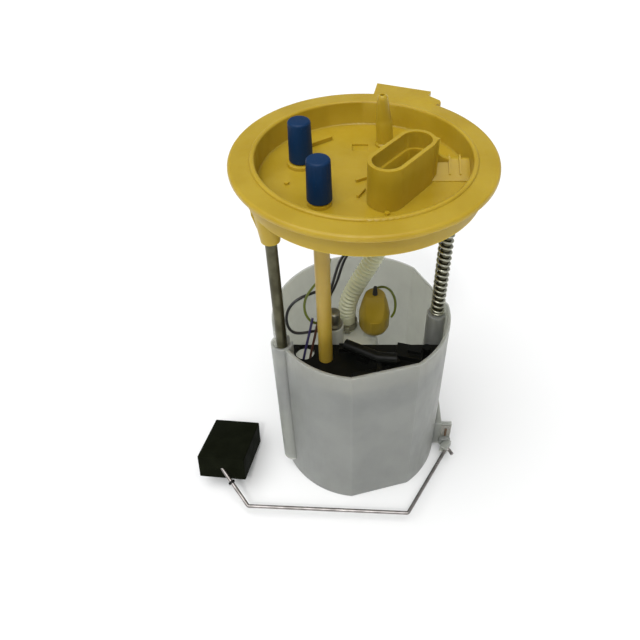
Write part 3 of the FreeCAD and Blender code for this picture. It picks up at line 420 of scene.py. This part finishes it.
# Inlet strainer: a disc of woven nylon cloth over a spacer, welded round its edge and held below the pump.
# The cloth is off-white, and its warp and weft cross at right angles.
cloth = Paint("strainer_nylon", 0.8)
weave = cloth.bands("X", 900.0) * cloth.bands("Y", 900.0)
cloth.set("Base Color", cloth.mix(weave, rgb(0.30, 0.30, 0.27), rgb(0.48, 0.48, 0.44)))
cloth.relief(weave, 0.08 * mm)
dressed("inlet_strainer", cloth.material, "filter_mesh", 0.4 * mm)

# Pump ends, impeller and plate: glass-filled white acetal, harder and duller than the pot, with short fibres
# showing as pale flecks. The top end carries the outlet and the regulator tower and is crimped into the can.
pump_white = moulded("pump_acetal", rgb(0.60, 0.61, 0.52), rgb(0.52, 0.53, 0.45), 0.42,
                     grain=0.25 * mm, dust=0.3, Subsurface_Weight=0.5,
                     Subsurface_Radius=(0.004, 0.004, 0.003), Subsurface_Scale=1.0)
for node in ("pump_inlet_cap", "pump_impeller", "pump_plate", "pump_top_cap"):
    dressed(node, pump_white, "pump_plastic", 0.4 * mm)

# Pump can, pressure regulator and hose clamps: zinc-plated sheet steel, drawn and crimped. The plating has
# the cloudy greyish yellow of old passivation.
zinc = steel("zinc_plate", rgb(0.34, 0.33, 0.27), rgb(0.22, 0.21, 0.15), 0.34,
             patch=6 * mm, lines=0.5 * mm, stretch=(1, 1, 0.2))
for node in ("pump_can", "pressure_regulator", "hose_clamp_lower", "hose_clamp_upper"):
    dressed(node, zinc, "can_steel", 0.2 * mm)

# Pump motor inside the can: ferrite magnets glued to the can, a stack of iron sheets on the shaft with its
# copper commutator, and two pressed carbon brushes. None of it shows unless the can is taken off. The level
# sender's wiper is of the same copper, gone brown.
ferrite = moulded("ferrite", rgb(0.035, 0.035, 0.04), rgb(0.055, 0.055, 0.055), 0.6, grain=0.2 * mm)
for node in ("pump_magnet_left", "pump_magnet_right"):
    dressed(node, ferrite, "ferrite")
sheets = Paint("stacked_iron", 0.45, 1.0)
stack = sheets.noise(0.5 * mm, 0.0, (0.001, 0.001, 1))
sheets.set("Base Color", sheets.mix(sheets.limits(stack, 0.42, 0.58), rgb(0.26, 0.26, 0.25),
                                    rgb(0.12, 0.12, 0.11)))
sheets.relief(stack, 0.05 * mm)
dressed("pump_armature", sheets.material, "laminations", 0.1 * mm)
dressed("pump_shaft", rod_steel, "rod_steel", 0.1 * mm)
copper = steel("bare_copper", rgb(0.27, 0.17, 0.11), rgb(0.15, 0.10, 0.07), 0.42,
               patch=2 * mm, lines=0.3 * mm, stretch=(1, 1, 4))
for node in ("pump_commutator", "sender_wiper"):
    dressed(node, copper, "copper", 0.05 * mm)
carbon = moulded("pressed_carbon", rgb(0.015, 0.015, 0.017), rgb(0.028, 0.028, 0.028), 0.55,
                 grain=0.15 * mm)
for node in ("pump_brush_left", "pump_brush_right"):
    dressed(node, carbon, "carbon", 0.2 * mm)

# Plug on the pump: ochre nylon connector body, pushed onto the pump's terminals. Nylon has a waxier gloss
# than the acetal round it and is darker where it is thick.
ochre = moulded("ochre_nylon", rgb(0.40, 0.275, 0.018), rgb(0.32, 0.215, 0.012), 0.44, dust=0.3)
dressed("pump_plug", ochre, "ochre_plug", 0.5 * mm)

# Cover and elbow over the front of the pot: black acetal mouldings, satin, with a little dust. The cover
# stands on posts inside the pot rim and the elbow is pushed into it.
black = moulded("black_acetal", rgb(0.0022, 0.0026, 0.0020), rgb(0.0042, 0.0046, 0.0038), 0.42, dust=0.1,
                Specular_IOR_Level=0.14)
for node in ("jet_pump_cover", "jet_pump_elbow"):
    dressed(node, black, "black_cover", 0.35 * mm)

# Corrugated hose: blown nylon tube from the pump outlet up to the spigot under the flange, with plain cuffs
# under its two clamps. The corrugations let it fold up as the flange is pushed down.
ribbed = Growth("corrugated_tube", ["Radius", "Depth", "Pitch", "Cuff"])
along = Level(ribbed, ribbed.add("GeometryNodeSplineParameter").outputs["Length"])
whole = Level(ribbed, ribbed.add("GeometryNodeSplineLength").outputs["Length"])
cuff = ribbed.given("Cuff")
soft = cuff + 2.0 * mm
inside = ribbed.limits(along, cuff, soft) * ribbed.limits(whole - along, cuff, soft)
wave = 0.5 - (along * (2 * math.pi) / ribbed.given("Pitch")).sine() * 0.5
thickness = ribbed.given("Radius") - ribbed.given("Depth") * (wave * inside + (1.0 - inside) * 0.4)
fine = ribbed.add("GeometryNodeResampleCurve", {"mode": "LENGTH"},
                  {"Curve": ribbed.feed["Geometry"], "Length": 0.3 * mm})
ring = ribbed.add("GeometryNodeCurvePrimitiveCircle", {}, {"Resolution": 36, "Radius": 1.0})
skin = ribbed.add("GeometryNodeCurveToMesh", {},
                  {"Curve": fine.outputs[0], "Profile Curve": ring.outputs[0], "Scale": thickness,
                   "Fill Caps": True})
ribbed.end(skin.outputs[0])
hose_nylon = moulded("hose_nylon", rgb(0.70, 0.71, 0.49), rgb(0.62, 0.63, 0.42), 0.42, dust=0.25,
                     Subsurface_Weight=0.5, Subsurface_Radius=(0.004, 0.004, 0.003), Subsurface_Scale=1.0)
line = bpy.data.curves.new("hose_line", "CURVE")
line.dimensions = "3D"
line.resolution_u = 48
run = line.splines.new("BEZIER")
run.bezier_points.add(3)
hose_stations = ((-9, 15, 100.7, 5, 5), (-9, 15, 117, 6, 20), (13, 20, 178, 20, 20), (13, 20, 226, 14, 14))
for point, (x, y, z, pull_down, pull_up) in zip(run.bezier_points, hose_stations):
    point.co = Vector((x, y, z)) * mm
    point.handle_left = Vector((x, y, z - pull_down)) * mm
    point.handle_right = Vector((x, y, z + pull_up)) * mm
hose_mesh = ribbed.grow(bpy.data.objects.new("hose_line", line),
                        {"Radius": 6.0 * mm, "Depth": 1.1 * mm, "Pitch": 2.9 * mm, "Cuff": 12.0 * mm,
                         "Material": hose_nylon})
show("ribbed_hose", hose_mesh, hose_nylon, "reservoir", "hose_nylon", ["corrugated_hose"], 108 * mm, 216 * mm)

# Resistor card of the level sender: fired ceramic with printed dark tracks, glued to the housing. The wiper
# on the lever runs over the tracks.
ceramic = Paint("card_ceramic", 0.35)
ceramic.set("Base Color", ceramic.mix(ceramic.limits(ceramic.bands("Z", 160.0), 0.55, 0.6),
                                      rgb(0.42, 0.40, 0.35), rgb(0.09, 0.09, 0.085)))
dressed("resistor_card", ceramic.material, "ceramic", 0.05 * mm)

# Float arm: hard-drawn steel wire, bent cold, with one end through the float and the hooked end in the
# sender's lever. The zinc on it is bright, with greyer patches at the bends.
arm_steel = steel("arm_wire_steel", rgb(0.36, 0.335, 0.325), rgb(0.22, 0.205, 0.195), 0.3,
                  patch=7 * mm, lines=0.5 * mm, stretch=(0.2, 1, 1))
dressed("float_wire", arm_steel, "arm_wire", 0)

# Float and its clip: closed-cell nitrile rubber block with a fine open skin of cut pores, slipped over the
# wire and held by a pushed-on clip of the cover's black acetal.
foam = Paint("closed_cell_rubber", 0.66, Specular_IOR_Level=0.02)
pores = foam.limits(foam.cells(0.55 * mm), 0.1, 0.55)
worn = foam.limits(foam.noise(9 * mm, 5.0), 0.35, 0.72)
foam.set("Base Color", foam.mix(worn, rgb(0.0048, 0.0058, 0.0026), rgb(0.0080, 0.0094, 0.0048)))
foam.set("Roughness", 0.58 + worn * 0.18)
foam.relief(pores + foam.noise(6 * mm, 2.0) * 2.0, 0.07 * mm)
dressed("float", foam.material, "float_foam", 0.5 * mm)
dressed("float_retainer", black, "clip_black", 0.2 * mm)

# Wires: tinned strands in smooth fuel-proof insulation, crimped at their ends. The two black supply wires
# hang from the flange, and the short looms inside the pot stay with it.
supply = moulded("black_insulation", rgb(0.008, 0.008, 0.008), rgb(0.014, 0.014, 0.014), 0.36,
                 grain=0.2 * mm, dust=0.2)
dressed("wire_loop_black", supply, "wire_black", 0)
for node in ("wire_supply_left", "wire_supply_right"):
    dressed(node, supply, "wire_black", 0, low=96 * mm, high=221 * mm)
green = moulded("green_insulation", rgb(0.13, 0.16, 0.014), rgb(0.10, 0.125, 0.011), 0.4,
                grain=0.2 * mm, dust=0.2)
for node in ("wire_loop_green", "plug_lead_green"):
    dressed(node, green, "wire_green", 0)
violet = moulded("violet_insulation", rgb(0.035, 0.028, 0.10), rgb(0.027, 0.02, 0.075), 0.4,
                 grain=0.2 * mm, dust=0.2)
dressed("wire_violet", violet, "wire_violet", 0)
brown = moulded("brown_insulation", rgb(0.07, 0.024, 0.013), rgb(0.05, 0.017, 0.01), 0.4,
                grain=0.2 * mm, dust=0.2)
dressed("wire_brown", brown, "wire_brown", 0)

# Table top: a plain white sheet, very slightly clouded. It is painted last, with the class that the flange's
# section brings in.
table_paint = Paint("white_sheet", 0.9)
table_paint.set("Base Color", table_paint.mix(table_paint.noise(0.4), rgb(0.93, 0.93, 0.93),
                                              rgb(0.91, 0.91, 0.91)))
table.materials.append(table_paint.material)
